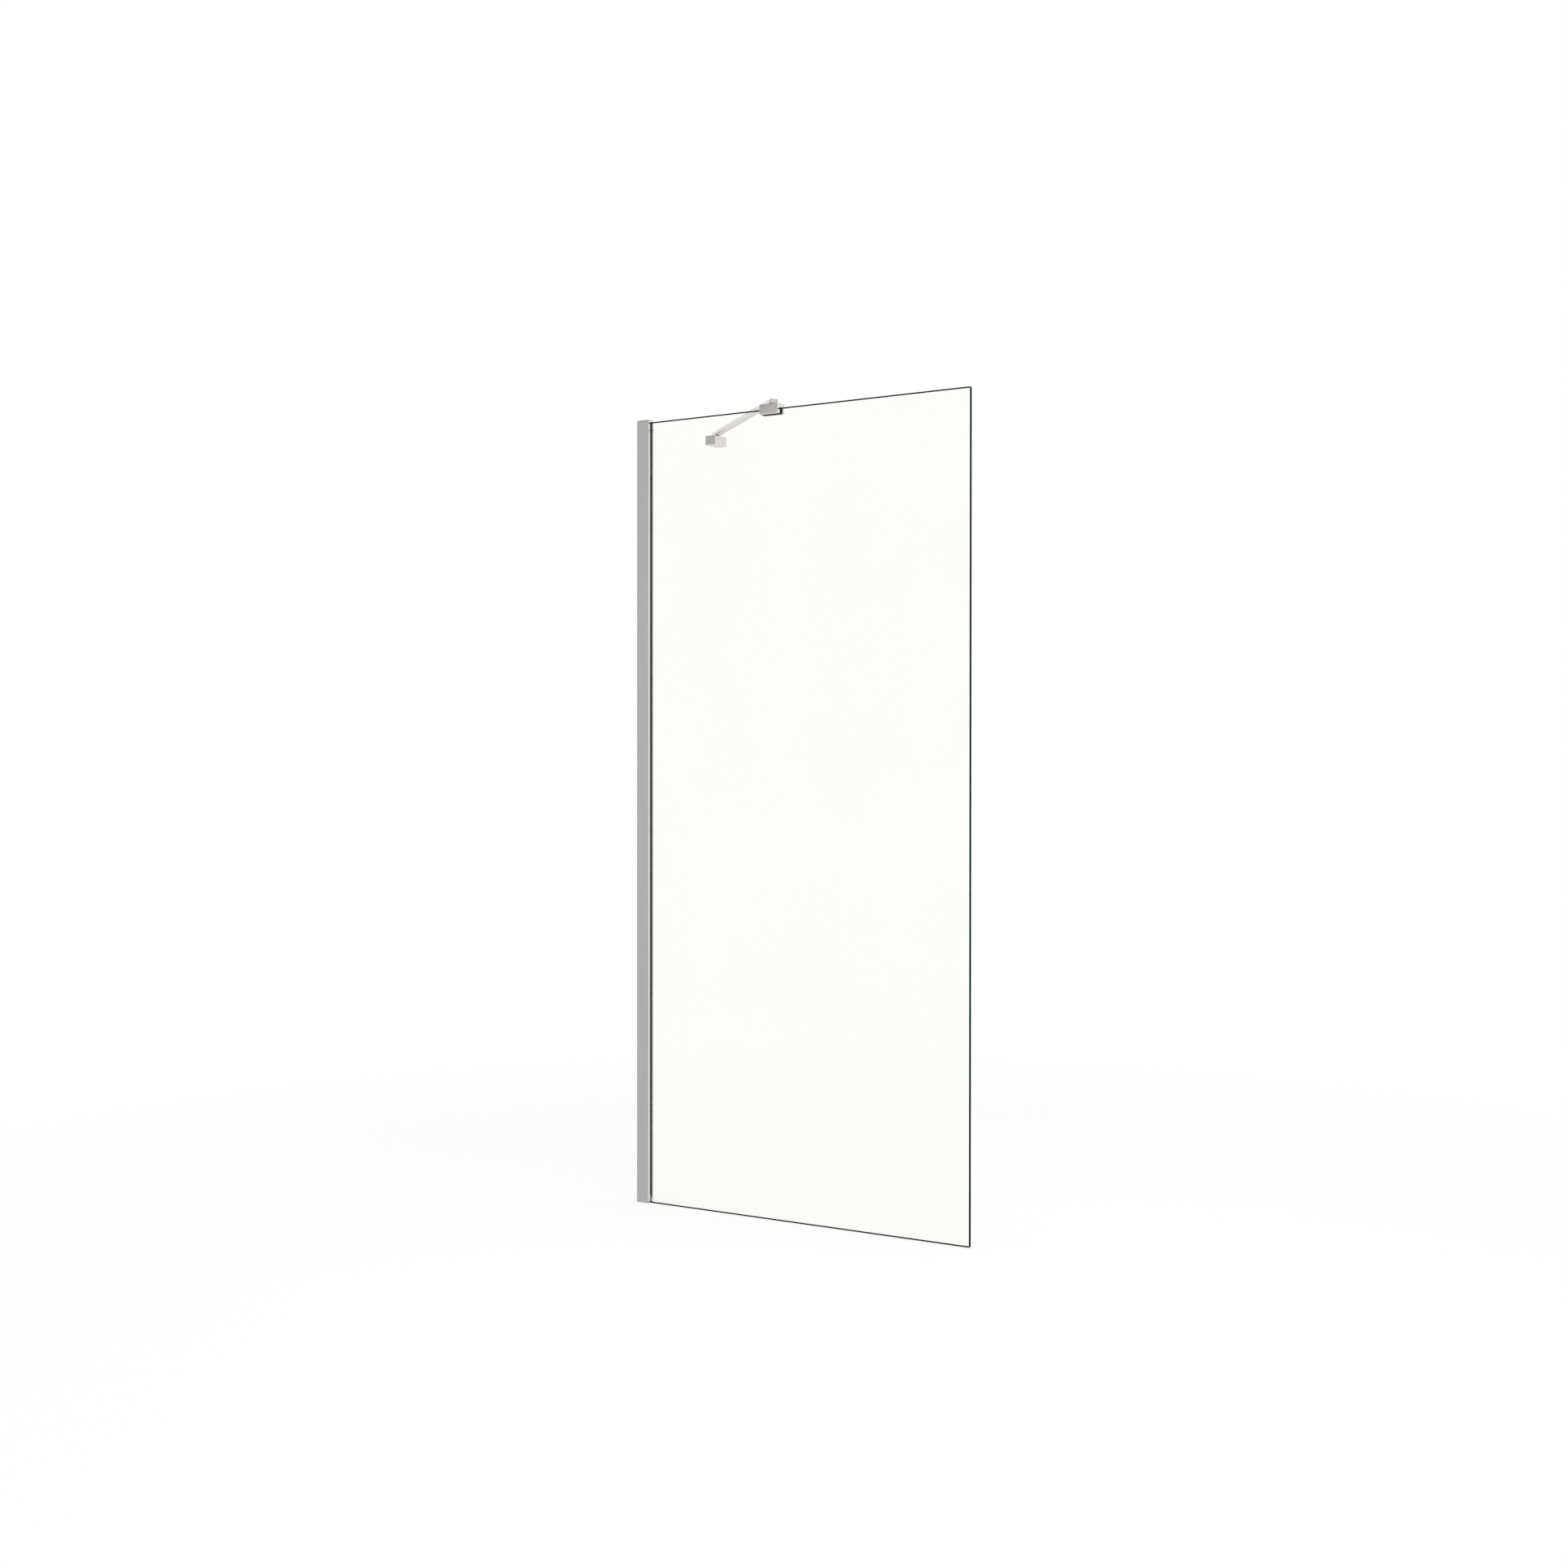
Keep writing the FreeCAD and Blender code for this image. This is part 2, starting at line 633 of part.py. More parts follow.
def make_thread_inserts():
    inserts = []
    for name, pivot in (("insert_over_clamp", "0"), ("insert_over_bracket", "bar_span")):
        body = new_body(name, node=False)
        fill_bore(body, f"{pivot} - insert_reach", "2 * insert_reach")
        tap = new_sketch(body, "XY_Plane", lift="bar_floor")
        circle(tap, pivot, "0", "pivot_diameter + 2 * thread_clearance")
        pocket(body, tap, along=True)
        place_on_bar(body)
        inserts.append(body)
    gather("bar_thread_inserts", inserts)


def make_pivot_screw(name, seat, stand, pivot):
    """A headed screw from below its seat up into the bar, on the pivot in the block's own frame."""
    body = new_body(name)
    bearing = f"{seat} - swivel_gap"
    foot = f"{bearing} - pivot_head_height"
    revolve(body, [
        ("0", foot),
        ("pivot_head / 2", foot),
        ("pivot_head / 2", bearing),
        ("pivot_diameter / 2", bearing),
        ("pivot_diameter / 2", "bore_floor + bore_height - bar_plug_fit"),
        ("0", "bore_floor + bore_height - bar_plug_fit"),
    ])
    socket = new_sketch(body, "XY_Plane", lift=foot)
    hexagon(socket, "0", "0", "pivot_socket")
    pocket(body, socket, "pivot_socket_depth", along=True)
    stand(body, pivot)


def make_bracket_cover():
    body = new_body("bracket_cover")
    outside = new_sketch(body, "YZ_Plane")
    rectangle(outside, "-bracket_length / 2", "-block_grip", "bracket_length / 2", "block_top")
    pad(body, outside, "bracket_depth")
    round_block(body, 0, ("0",), flat_side="left")
    inside = new_sketch(body, "YZ_Plane")
    rectangle(inside, "-bracket_half", "bracket_floor", "bracket_half", "bracket_roof")
    pocket(body, inside, "bracket_depth - bracket_wall", along=True)
    bore = new_sketch(body, "XY_Plane")
    circle(bore, "pivot_from_wall", "0", "pivot_diameter + 2 * pivot_clearance")
    pocket(body, bore, along=True)
    tap = new_sketch(body, "XY_Plane")
    circle(tap, "lug_middle", "0", "grub_screw + 2 * thread_clearance")
    pocket(body, tap)
    place_on_bracket(body)


def make_wall_plate():
    body = new_body("bracket_wall_plate")
    side = "bracket_half - base_fit"
    base = new_sketch(body, "YZ_Plane")
    rectangle(base, f"-({side})", "bracket_floor + base_fit", side, "bracket_roof - base_fit")
    pad(body, base, "base_thickness")
    lug = new_sketch(body, "YZ_Plane", lift="base_thickness")
    rectangle(lug, "-lug_width / 2", "lug_bottom", "lug_width / 2", "lug_bottom + lug_height")
    pad(body, lug, "lug_length")
    holes = new_sketch(body, "YZ_Plane")
    for end in ("-", ""):
        circle(holes, f"{end}base_hole_spacing / 2", "(bracket_floor + bracket_roof) / 2", "base_hole")
    pocket(body, holes, along=True)
    place_on_bracket(body)


def make_grub_screw():
    body = new_body("bracket_grub_screw")
    foot = "grub_recess - block_grip"
    shank = new_sketch(body, "XY_Plane", lift=foot)
    circle(shank, "lug_middle", "0", "grub_screw")
    pad(body, shank, f"lug_bottom - ({foot})")
    socket = new_sketch(body, "XY_Plane", lift=foot)
    hexagon(socket, "lug_middle", "0", "grub_socket")
    pocket(body, socket, "grub_socket_depth", along=True)
    place_on_bracket(body)


make_wall_channel()
make_top_cap()
make_end_plug()
make_gasket("front_gasket", -1)
make_gasket("rear_gasket", 1)
make_glass_panel()
make_clamp_body()
make_clamp_liner()
make_pressure_plate()
make_set_screws()
make_spacer("clamp_spacer", place_on_clamp, "0")
make_bar_tube()
make_bar_plug("bar_front_plug", "bar_plug_recess - bar_front_overhang")
make_bar_plug("bar_rear_plug", "bar_span + bar_rear_overhang - bar_plug_recess - bar_plug_length")
make_thread_inserts()
make_pivot_screw("clamp_pivot_screw", "head_seat", place_on_clamp, "0")
make_pivot_screw("bracket_pivot_screw", "bracket_roof", place_on_bracket, "pivot_from_wall")
make_bracket_cover()
make_wall_plate()
make_grub_screw()
make_spacer("bracket_spacer", place_on_bracket, "pivot_from_wall")
doc.recompute()

# Nothing is written unless every object and every solid is sound
for item in doc.Objects:
    if {"Invalid", "Error"} & set(item.State):
        raise RuntimeError(f"{item.Label} is {item.State}")
for node in nodes:
    if node.Shape.isNull() or not node.Shape.isValid() or not node.Shape.Solids:
        raise RuntimeError(f"{node.Label} has no sound solid")
os.makedirs("parts", exist_ok=True)
for node in nodes:
    node.Shape.exportStep(f"parts/{node.Label}.step")
    print(f"{node.Label}: {len(node.Shape.Solids)} solid, {node.Shape.Volume:.1f} mm3, {node.Shape.BoundBox}")
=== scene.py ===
import json
import math

import bpy
from mathutils import Matrix, Vector


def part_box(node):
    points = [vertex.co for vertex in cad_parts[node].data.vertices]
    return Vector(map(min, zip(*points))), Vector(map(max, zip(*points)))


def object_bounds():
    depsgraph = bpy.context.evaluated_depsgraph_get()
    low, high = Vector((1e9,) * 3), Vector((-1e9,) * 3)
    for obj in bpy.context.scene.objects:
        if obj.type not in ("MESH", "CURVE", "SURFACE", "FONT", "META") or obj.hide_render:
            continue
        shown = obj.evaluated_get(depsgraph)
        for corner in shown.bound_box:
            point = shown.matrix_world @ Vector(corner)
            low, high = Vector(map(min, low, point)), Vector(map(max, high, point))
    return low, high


# The looks of a fixed shower screen: metres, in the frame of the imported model.
# X runs out from the wall along the glass, Y from the front of the glass to the bar's side, Z up.

# Camera: place, heading from +Y towards +X, tilt, roll and lens, fitted to the screen's edges
CAMERA_PLACE = (2.9348, -3.9751, 1.0495)
CAMERA_HEADING = -0.56464
CAMERA_TILT = -0.00642
CAMERA_ROLL = 0.00068
CAMERA_LENS = 46.426
SENSOR_WIDTH = 36.0

# Light on the screen: the world's strength, and a softbox above that shines down
WORLD_LIGHT = 0.8
SOFTBOX_PLACE = (1.2, -0.6, 3.6)
SOFTBOX_SIZE = 3.0
SOFTBOX_POWER = 42.0

# The room that metal and glass mirror: its tones by heading, in degrees from the wall's side (-X)
# round to the front (-Y), then the tone of its floor and the factor of its ceiling, each with the
# Z of the directions where it starts and where it is full
ROOM_TONES = ((-180, 0.85), (-100, 0.85), (-70, 0.77), (-45, 0.77), (-30, 0.88), (-15, 0.88),
              (0, 0.40), (57, 0.49), (82, 0.52), (106, 0.85), (180, 0.85))
ROOM_FLOOR_TONE = 0.88
ROOM_FLOOR_FROM = -0.15
ROOM_FLOOR_FULL = -0.50
CEILING_FACTOR = 0.60
CEILING_FROM = 0.25
CEILING_FULL = 0.60

# The floor: its gap below the screen, half its side and its colour, then the distances from its
# middle between which it fades to white, and how white it is at the nearer one
FLOOR_GAP = 0.0003
FLOOR_HALF = 9.0
FLOOR_COLOUR = (0.97, 0.97, 0.965)
FLOOR_NEAR = 0.8
FLOOR_FAR = 3.0
FLOOR_NEAR_GLOW = 0.7

# Noise: its detail, the values that most of it lies between, and the stretch of an even grain and
# of one drawn out along Z
NOISE_DETAIL = 3.0
NOISE_LOW = 0.3
NOISE_HIGH = 0.7
EVEN = (1, 1, 1)
DRAWN = (1, 1, 0.004)

# Metals: a darker and a paler tone, the roughness from and to, and the scale, stretch and relief
# of the grain. The roughness of every metal follows smears of one scale, and polished chrome has
# one roughness on all blocks.
SMEAR_SCALE = 9.0
POLISHED = (0.09, 0.15)
METALS = {
    "polished_aluminium": ((0.85, 0.847, 0.84), (0.90, 0.897, 0.89), (0.05, 0.08), 900.0, DRAWN, 0.000004),
    "cap_metal": ((0.71, 0.706, 0.70), (0.75, 0.746, 0.74), (0.14, 0.22), 60.0, EVEN, 0.000003),
    "chrome": ((0.845, 0.82, 0.80), (0.88, 0.855, 0.835), POLISHED, 30.0, EVEN, 0.000002),
    "bracket_chrome": ((0.828, 0.791, 0.788), (0.862, 0.825, 0.822), POLISHED, 30.0, EVEN, 0.000002),
    "satin_chrome": ((0.873, 0.829, 0.827), (0.908, 0.864, 0.863), (0.22, 0.28), 30.0, EVEN, 0.000002),
    "plug_metal": ((0.66, 0.64, 0.625), (0.70, 0.68, 0.665), (0.20, 0.28), 60.0, EVEN, 0.000003),
    "cut_metal": ((0.46, 0.455, 0.45), (0.52, 0.515, 0.51), (0.25, 0.35), 300.0, EVEN, 0.000005),
    "steel": ((0.52, 0.52, 0.51), (0.66, 0.66, 0.65), (0.22, 0.36), 700.0, EVEN, 0.00001),
}

# The clamp's front has a painted reflection: its tone at the upper corner on the wall's side, a painted
# shade, and at the corner across from it, a painted highlight
FRONT_PAINTED_SHADE = (0.74, 0.718, 0.701)
FRONT_PAINTED_HIGHLIGHT = (0.985, 0.956, 0.933)

# Rubbers: a darker and a paler tone, then the scales of their dust and grain, and the grain's
# relief and roughness
RUBBERS = {
    "black_rubber": ((0.05, 0.05, 0.05), (0.066, 0.066, 0.065)),
    "strip_rubber": ((0.104, 0.104, 0.104), (0.13, 0.13, 0.129)),
}
RUBBER_DUST = 60.0
RUBBER_GRAIN = 2500.0
RUBBER_RELIEF = 0.00003
RUBBER_ROUGHNESS = (0.5, 0.7)

# Plastic: a darker and a paler tone, the scale of its clouds, its roughness, how much light passes
# into it and how that light bends
PLASTIC_DARK = (0.86, 0.87, 0.86)
PLASTIC_PALE = (0.95, 0.955, 0.95)
PLASTIC_CLOUD = 120.0
PLASTIC_ROUGHNESS = (0.12, 0.25)
PLASTIC_TRANSMISSION = 0.12
PLASTIC_IOR = 1.49

# Faces of the glass: the tints, scale and roughness of the film on them, what they mirror head on,
# and the power that the mirror grows by towards grazing
FILM_DARK = (0.996, 0.999, 0.984)
FILM_PALE = (0.999, 1.0, 0.990)
FILM_SCALE = 3.0
FILM_ROUGHNESS = (0.0, 0.02)
MIRROR_HEAD_ON = 0.012
MIRROR_POWER = 6.0

# Edges of the glass: a darker and a paler green, the scales of their clouds and of the grinding,
# and their roughness
EDGE_DARK = (0.005, 0.018, 0.009)
EDGE_PALE = (0.008, 0.026, 0.013)
EDGE_CLOUD = 40.0
EDGE_GRIND = 400.0
EDGE_ROUGHNESS = (0.25, 0.4)

# The top edge's bevel, how far the dark of that edge shows through the faces below it, and the
# height that it fades out over
TOP_BEVEL = 0.0015
TOP_RIM = 0.0004
RIM_FADE = 0.0001

# Pieces whose finish isn't the one that bears the name of their slot
OWN_FINISH = {
    "channel_top_cap": "cap_metal",
    "front_gasket": "strip_rubber",
    "rear_gasket": "strip_rubber",
    "bar_tube": "satin_chrome",
    "bar_front_plug": "plug_metal",
    "bar_rear_plug": "plug_metal",
    "bracket_cover": "bracket_chrome",
}

# Faces that differ from the rest of their piece: how far the normal of a cut end lies along the
# bar, how far that of the clamp's front, which has a painted reflection, points to the front, and
# the share of a normal across the sheet that the edges of the glass stay below
CUT_NORMAL = 0.70
FRONT_NORMAL = 0.3
EDGE_NORMAL = 0.95

WHITE = (1, 1, 1, 1)

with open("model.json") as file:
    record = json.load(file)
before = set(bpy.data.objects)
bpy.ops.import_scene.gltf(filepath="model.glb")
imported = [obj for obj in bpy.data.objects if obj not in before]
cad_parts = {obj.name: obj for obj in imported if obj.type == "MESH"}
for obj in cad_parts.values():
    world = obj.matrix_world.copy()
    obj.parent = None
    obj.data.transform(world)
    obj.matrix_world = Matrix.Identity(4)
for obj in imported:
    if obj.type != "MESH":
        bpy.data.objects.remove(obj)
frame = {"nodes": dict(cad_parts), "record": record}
cad_low, cad_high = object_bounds()
scene = bpy.context.scene
nodes = frame["nodes"]


# Node helpers

def new_material(name):
    """A material with its tree and its main shader."""
    material = bpy.data.materials.new(name)
    material.use_nodes = True
    tree = material.node_tree
    return material, tree, tree.nodes["Principled BSDF"]


def show(tree, shader):
    """Make this shader what the material's surface shows."""
    tree.links.new(shader, tree.nodes["Material Output"].inputs["Surface"])


def split(tree, kind):
    """The X, Y and Z of texture coordinates of this kind."""
    place = tree.nodes.new("ShaderNodeTexCoord")
    parts = tree.nodes.new("ShaderNodeSeparateXYZ")
    tree.links.new(place.outputs[kind], parts.inputs["Vector"])
    return parts.outputs


def noise(tree, scale, stretch=EVEN):
    """Cloudy values from 0 to 1 in the piece's own coordinates, stretched along its axes."""
    place = tree.nodes.new("ShaderNodeTexCoord")
    mapping = tree.nodes.new("ShaderNodeMapping")
    mapping.inputs["Scale"].default_value = stretch
    cloud = tree.nodes.new("ShaderNodeTexNoise")
    cloud.inputs["Scale"].default_value = scale
    cloud.inputs["Detail"].default_value = NOISE_DETAIL
    tree.links.new(place.outputs["Object"], mapping.inputs["Vector"])
    tree.links.new(mapping.outputs["Vector"], cloud.inputs["Vector"])
    return cloud.outputs["Fac"]


def ramp(tree, source, start, end, low, high, kind="LINEAR"):
    """Low up to where the source is start, high from where it is end, and a slope between."""
    slope = tree.nodes.new("ShaderNodeMapRange")
    slope.interpolation_type = kind
    for name, number in zip(("From Min", "From Max", "To Min", "To Max"), (start, end, low, high)):
        slope.inputs[name].default_value = number
    tree.links.new(source, slope.inputs["Value"])
    return slope.outputs["Result"]


def spread(tree, source, low, high):
    """The middle values of a noise spread from low to high."""
    return ramp(tree, source, NOISE_LOW, NOISE_HIGH, low, high)


def calculate(tree, operation, *values):
    """One sum on some values, each a socket or a number."""
    step = tree.nodes.new("ShaderNodeMath")
    step.operation = operation
    for socket, value in zip(step.inputs, values):
        if isinstance(value, (int, float)):
            socket.default_value = value
        else:
            tree.links.new(value, socket)
    return step.outputs["Value"]


def mix_colours(tree, factor, first, second):
    """The first colour where the factor is 0, the second where it is 1."""
    mix = tree.nodes.new("ShaderNodeMix")
    mix.data_type = "RGBA"
    mix.inputs["A"].default_value = (*first, 1)
    mix.inputs["B"].default_value = (*second, 1)
    tree.links.new(factor, mix.inputs["Factor"])
    return mix.outputs["Result"]


def blend_colours(tree, source, first, second):
    """A colour between the two, by the value of a noise."""
    return mix_colours(tree, spread(tree, source, 0, 1), first, second)


def mix_shaders(tree, factor, first, second):
    """The first shader where the factor is 0, the second where it is 1."""
    mix = tree.nodes.new("ShaderNodeMixShader")
    for socket, source in zip(mix.inputs, (factor, first, second)):
        tree.links.new(source, socket)
    return mix.outputs["Shader"]


def add_bump(tree, shader, source, height):
    """Relief of this height, in metres, from the source's value."""
    bump = tree.nodes.new("ShaderNodeBump")
    bump.inputs["Distance"].default_value = height
    tree.links.new(source, bump.inputs["Height"])
    tree.links.new(bump.outputs["Normal"], shader.inputs["Normal"])


# Materials

def make_metal(name, dark, pale, roughness, scale, stretch, relief):
    """A shiny metal whose tone follows its grain and whose polish varies in smears."""
    material, tree, shader = new_material(name)
    shader.inputs["Metallic"].default_value = 1.0
    grain = noise(tree, scale, stretch)
    tree.links.new(blend_colours(tree, grain, dark, pale), shader.inputs["Base Color"])
    tree.links.new(spread(tree, noise(tree, SMEAR_SCALE), *roughness), shader.inputs["Roughness"])
    add_bump(tree, shader, grain, relief)
    return material


def make_painted_reflection_chrome():
    """Chrome with a painted reflection: it grows lighter along the clamp's front and down it, half by each.
    """
    material, tree, shader = new_material("painted_reflection_chrome")
    shader.inputs["Metallic"].default_value = 1.0
    box_low, box_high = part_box("clamp_body")
    place = split(tree, "Object")
    along = ramp(tree, place["X"], box_low[0], box_high[0], 0.0, 0.5)
    down = ramp(tree, place["Z"], box_low[2], box_high[2], 0.5, 0.0)
    tone = mix_colours(tree, calculate(tree, "ADD", along, down), FRONT_PAINTED_SHADE, FRONT_PAINTED_HIGHLIGHT)
    tree.links.new(tone, shader.inputs["Base Color"])
    tree.links.new(spread(tree, noise(tree, SMEAR_SCALE), *POLISHED), shader.inputs["Roughness"])
    return material


def make_rubber(name, dark, pale):
    """Matt rubber with a fine grain and a little dust."""
    material, tree, shader = new_material(name)
    grain = noise(tree, RUBBER_GRAIN)
    dust = noise(tree, RUBBER_DUST)
    tree.links.new(blend_colours(tree, dust, dark, pale), shader.inputs["Base Color"])
    tree.links.new(spread(tree, grain, *RUBBER_ROUGHNESS), shader.inputs["Roughness"])
    add_bump(tree, shader, grain, RUBBER_RELIEF)
    return material


def make_plastic():
    """Milky moulded plastic that lets some light into it."""
    material, tree, shader = new_material("clear_plastic")
    cloud = noise(tree, PLASTIC_CLOUD)
    tree.links.new(blend_colours(tree, cloud, PLASTIC_DARK, PLASTIC_PALE), shader.inputs["Base Color"])
    tree.links.new(spread(tree, cloud, *PLASTIC_ROUGHNESS), shader.inputs["Roughness"])
    shader.inputs["Transmission Weight"].default_value = PLASTIC_TRANSMISSION
    shader.inputs["IOR"].default_value = PLASTIC_IOR
    return material


def make_glass_face():
    """The two large faces of the sheet: clear, with a pane's mirror and a dark rim at the top."""
    material, tree, main_shader = new_material("clear_glass")
    tree.nodes.remove(main_shader)
    film = noise(tree, FILM_SCALE)
    clear = tree.nodes.new("ShaderNodeBsdfTransparent")
    tree.links.new(blend_colours(tree, film, FILM_DARK, FILM_PALE), clear.inputs["Color"])
    mirror = tree.nodes.new("ShaderNodeBsdfGlossy")
    mirror.inputs["Color"].default_value = WHITE
    tree.links.new(spread(tree, film, *FILM_ROUGHNESS), mirror.inputs["Roughness"])
    dark = tree.nodes.new("ShaderNodeBsdfDiffuse")
    dark.inputs["Color"].default_value = (*EDGE_DARK, 1)
    pane = mix_shaders(tree, mirror_share(tree), clear.outputs["BSDF"], mirror.outputs["BSDF"])
    show(tree, mix_shaders(tree, top_rim(tree), pane, dark.outputs["BSDF"]))
    return material


def mirror_share(tree):
    """How much a face of the glass mirrors, from head on to grazing."""
    facing = tree.nodes.new("ShaderNodeLayerWeight").outputs["Facing"]
    rise = calculate(tree, "POWER", facing, MIRROR_POWER)
    return calculate(tree, "MULTIPLY_ADD", rise, 1 - MIRROR_HEAD_ON, MIRROR_HEAD_ON)


def top_rim(tree):
    """1 in a narrow band below the bevel of the sheet's top edge, and 0 below it."""
    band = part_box("glass_panel")[1][2] - TOP_BEVEL - TOP_RIM
    return ramp(tree, split(tree, "Object")["Z"], band - RIM_FADE, band, 0.0, 1.0)


def make_glass_edge():
    """The ground edges, where the sheet shows its own dark green."""
    material, tree, shader = new_material("glass_edge")
    cloud = noise(tree, EDGE_CLOUD)
    tree.links.new(blend_colours(tree, cloud, EDGE_DARK, EDGE_PALE), shader.inputs["Base Color"])
    tree.links.new(spread(tree, noise(tree, EDGE_GRIND), *EDGE_ROUGHNESS), shader.inputs["Roughness"])
    shader.inputs["Specular IOR Level"].default_value = 0.0
    return material


def make_finishes():
    """Every finish of the screen by its name."""
    finishes = {name: make_metal(name, *looks) for name, looks in METALS.items()}
    finishes.update({name: make_rubber(name, *tones) for name, tones in RUBBERS.items()})
    # Chrome for the clamp's front, with a painted reflection that grows lighter along it and down it
    finishes["painted_reflection_chrome"] = make_painted_reflection_chrome()
    finishes["clear_plastic"] = make_plastic()
    finishes["clear_glass"] = make_glass_face()
    finishes["glass_edge"] = make_glass_edge()
    return finishes


# Dressing the pieces

def dress_nodes(finishes):
    """Give every piece its own finish, or else that of its slot in the record."""
    for subpart in frame["record"]["subparts"]:
        name = subpart["node"]
        slot = subpart["material_slot"]
        mesh = nodes[name].data
        mesh.materials.clear()
        mesh.materials.append(finishes[OWN_FINISH.get(name, slot)])


def dress_faces(name, finish, chosen):
    """Give a finish to those faces of a piece whose normals are chosen."""
    mesh = nodes[name].data
    mesh.materials.append(finish)
    last = len(mesh.materials) - 1
    for face in mesh.polygons:
        if chosen(face.normal):
            face.material_index = last


def middle(name):
    """The middle of a piece's box."""
    low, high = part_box(name)
    return (Vector(low) + Vector(high)) / 2


def dress_screen():
    """All finishes, with the bar's cut ends, the clamp's front with its painted reflection and the edges of
    the glass.
    """
    finishes = make_finishes()
    dress_nodes(finishes)
    bar_way = (middle("bar_front_plug") - middle("bar_rear_plug")).normalized()
    dress_faces("bar_tube", finishes["cut_metal"], lambda normal: abs(normal.dot(bar_way)) > CUT_NORMAL)
    # The clamp's front gets the chrome with the painted reflection
    dress_faces("clamp_body", finishes["painted_reflection_chrome"], lambda normal: normal.y < -FRONT_NORMAL)
    dress_faces("glass_panel", finishes["glass_edge"], lambda normal: abs(normal.y) < EDGE_NORMAL)


# Studio

def make_world():
    """White to the eye, a room with a dark side for what the metal mirrors, and even for light."""
    world = bpy.data.worlds.new("studio")
    scene.world = world
    world.use_nodes = True
    tree = world.node_tree
    tree.nodes.clear()
    path = tree.nodes.new("ShaderNodeLightPath")
    tone = tree.nodes.new("ShaderNodeMix")
    tone.data_type = "RGBA"
    tone.inputs["A"].default_value = WHITE
    tree.links.new(path.outputs["Is Glossy Ray"], tone.inputs["Factor"])
    tree.links.new(mirrored_room(tree), tone.inputs["B"])
    seen = tree.nodes.new("ShaderNodeBackground")
    tree.links.new(tone.outputs["Result"], seen.inputs["Color"])
    light = tree.nodes.new("ShaderNodeBackground")
    light.inputs["Color"].default_value = WHITE
    light.inputs["Strength"].default_value = WORLD_LIGHT
    both = mix_shaders(tree, seen_rays(tree, path), light.outputs["Background"], seen.outputs["Background"])
    output = tree.nodes.new("ShaderNodeOutputWorld")
    tree.links.new(both, output.inputs["Surface"])


def mirrored_room(tree):
    """The tone of the room by direction: a dark side, a bright floor and a dimmer ceiling."""
    direction = split(tree, "Generated")
    back = [calculate(tree, "MULTIPLY", direction[axis], -1) for axis in "YX"]
    heading = calculate(tree, "ARCTAN2", *back)
    tones = tree.nodes.new("ShaderNodeValToRGB")
    tree.links.new(ramp(tree, heading, -math.pi, math.pi, 0.0, 1.0), tones.inputs["Fac"])
    stops = tones.color_ramp.elements
    stops.remove(stops[-1])
    for number, (degrees, tone) in enumerate(ROOM_TONES):
        position = 0.5 + degrees / 360
        stop = stops.new(position) if number else stops[0]
        stop.color = (tone, tone, tone, 1)
    height = direction["Z"]
    floor = ramp(tree, height, ROOM_FLOOR_FULL, ROOM_FLOOR_FROM, ROOM_FLOOR_TONE, 0.0, "SMOOTHSTEP")
    ceiling = ramp(tree, height, CEILING_FROM, CEILING_FULL, 1.0, CEILING_FACTOR, "SMOOTHSTEP")
    side = calculate(tree, "MAXIMUM", tones.outputs["Color"], floor)
    return calculate(tree, "MULTIPLY", side, ceiling)


def seen_rays(tree, path):
    """1 for rays that show the background: to the camera, in a mirror or through glass."""
    direct = calculate(tree, "MAXIMUM", path.outputs["Is Camera Ray"], path.outputs["Is Glossy Ray"])
    return calculate(tree, "MAXIMUM", direct, path.outputs["Is Transmission Ray"])


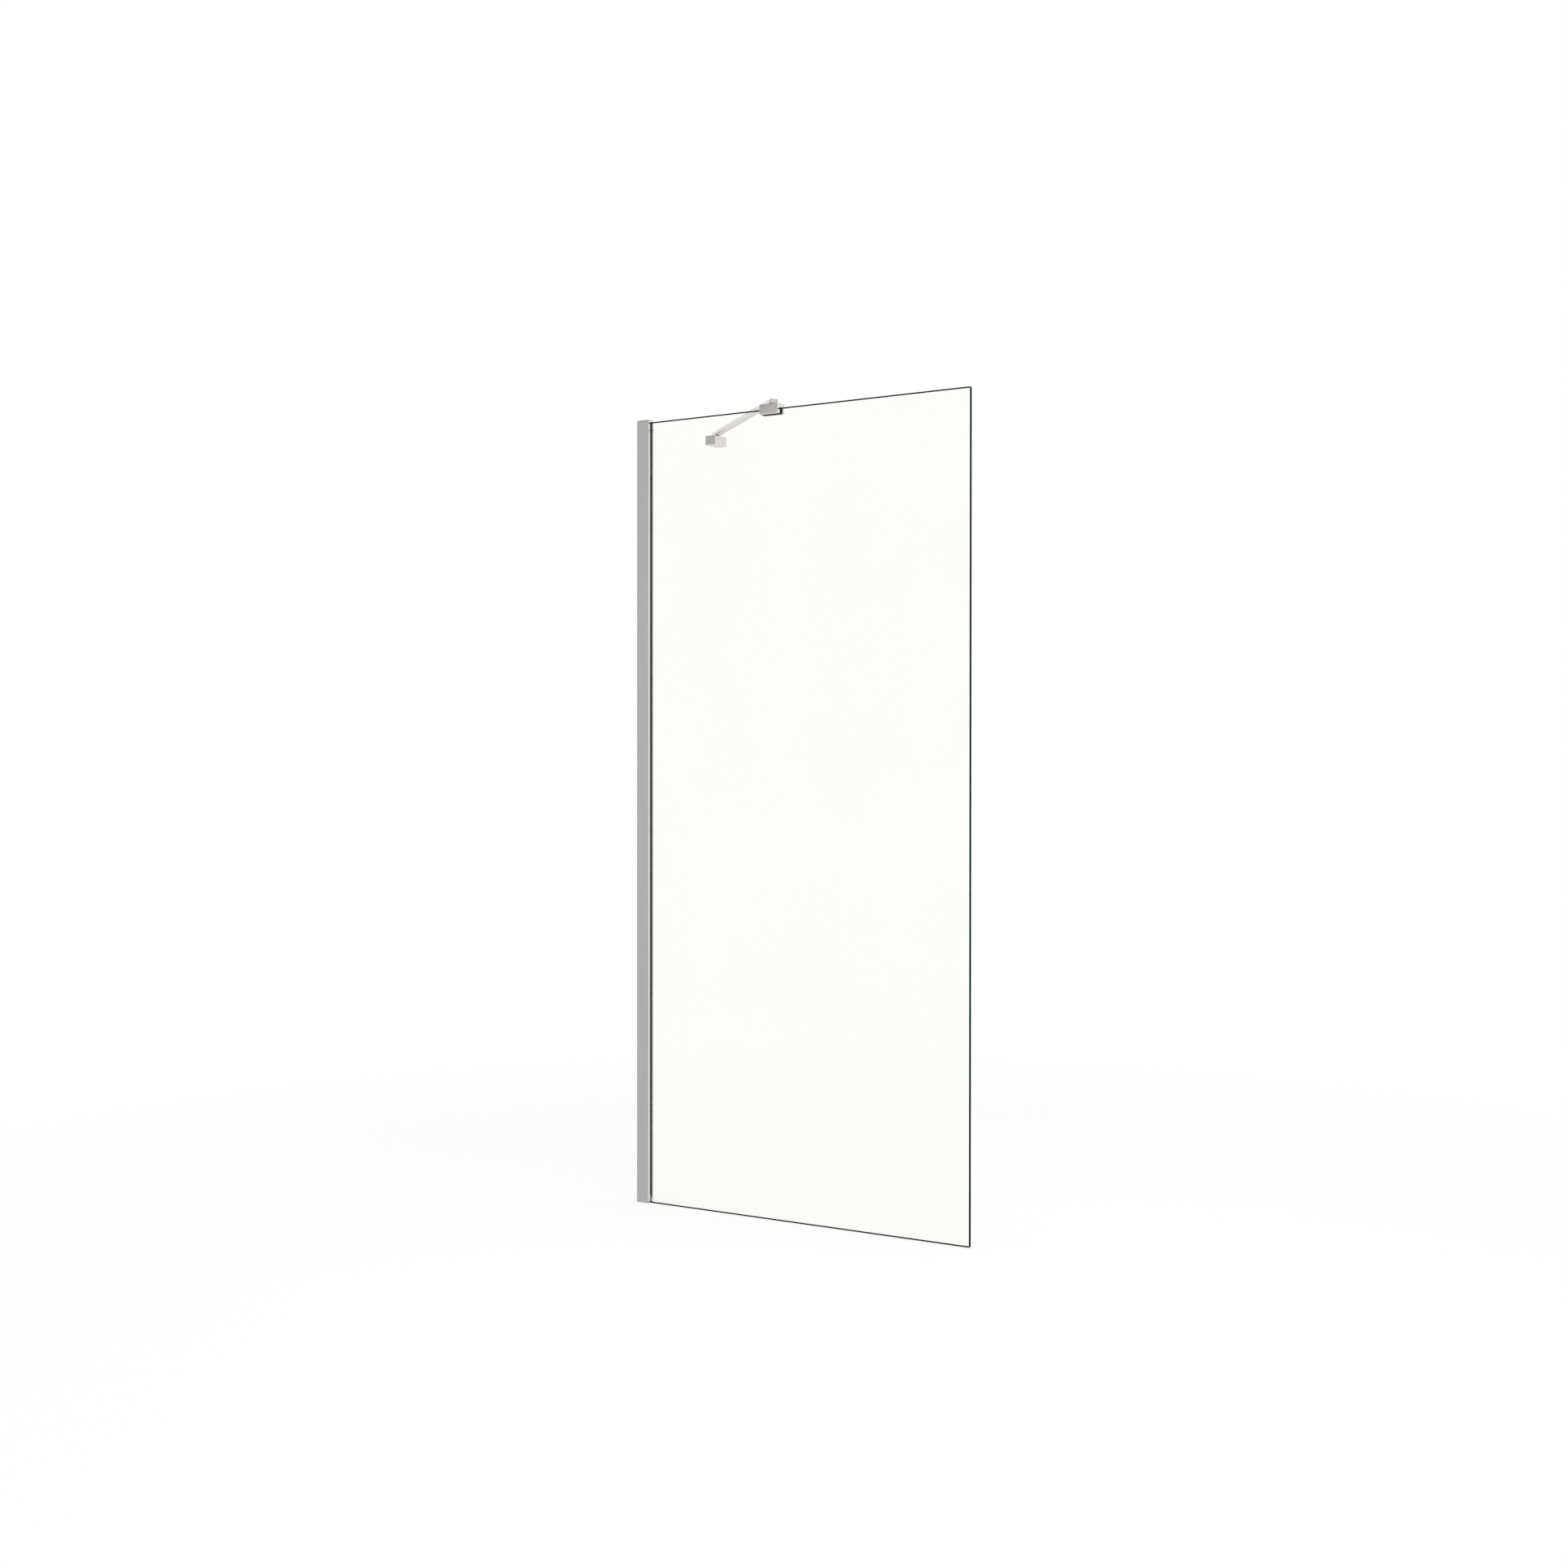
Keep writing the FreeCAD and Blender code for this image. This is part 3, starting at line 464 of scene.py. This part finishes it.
def make_floor():
    """A pale floor that holds the shadow near the screen. Mirrors don't show it."""
    mesh = bpy.data.meshes.new("floor")
    corners = [(-FLOOR_HALF, -FLOOR_HALF, 0), (FLOOR_HALF, -FLOOR_HALF, 0),
               (FLOOR_HALF, FLOOR_HALF, 0), (-FLOOR_HALF, FLOOR_HALF, 0)]
    mesh.from_pydata(corners, [], [(0, 1, 2, 3)])
    mesh.materials.append(make_floor_finish())
    floor = bpy.data.objects.new("floor", mesh)
    centre = (cad_low + cad_high) / 2
    floor.location = (centre.x, centre.y, cad_low.z - FLOOR_GAP)
    floor.visible_glossy = False
    scene.collection.objects.link(floor)


def make_floor_finish():
    """Matt and pale, and to the eye fading to white away from the screen."""
    material, tree, shader = new_material("floor")
    shader.inputs["Base Color"].default_value = (*FLOOR_COLOUR, 1)
    shader.inputs["Roughness"].default_value = 1.0
    shader.inputs["Specular IOR Level"].default_value = 0.0
    place = tree.nodes.new("ShaderNodeTexCoord")
    distance = tree.nodes.new("ShaderNodeVectorMath")
    distance.operation = "LENGTH"
    tree.links.new(place.outputs["Object"], distance.inputs[0])
    fade = ramp(tree, distance.outputs["Value"], FLOOR_NEAR, FLOOR_FAR, FLOOR_NEAR_GLOW, 1.0, "SMOOTHSTEP")
    path = tree.nodes.new("ShaderNodeLightPath")
    share = calculate(tree, "MULTIPLY", fade, seen_rays(tree, path))
    glow = tree.nodes.new("ShaderNodeEmission")
    show(tree, mix_shaders(tree, share, shader.outputs["BSDF"], glow.outputs["Emission"]))
    return material


def make_softbox():
    """A square lamp above the screen."""
    lamp = bpy.data.lights.new("softbox", "AREA")
    lamp.size = SOFTBOX_SIZE
    lamp.energy = SOFTBOX_POWER
    softbox = bpy.data.objects.new("softbox", lamp)
    softbox.location = SOFTBOX_PLACE
    scene.collection.objects.link(softbox)


def make_camera():
    """The camera, set to the photograph's view."""
    data = bpy.data.cameras.new("camera")
    data.sensor_width = SENSOR_WIDTH
    data.lens = CAMERA_LENS
    camera = bpy.data.objects.new("camera", data)
    turn = Matrix.Rotation(-CAMERA_HEADING, 4, "Z")
    tilt = Matrix.Rotation(math.pi / 2 + CAMERA_TILT, 4, "X")
    roll = Matrix.Rotation(CAMERA_ROLL, 4, "Z")
    camera.matrix_world = Matrix.Translation(CAMERA_PLACE) @ turn @ tilt @ roll
    scene.collection.objects.link(camera)
    scene.camera = camera


dress_screen()
make_world()
make_floor()
make_softbox()
make_camera()
scene.view_settings.view_transform = "Standard"
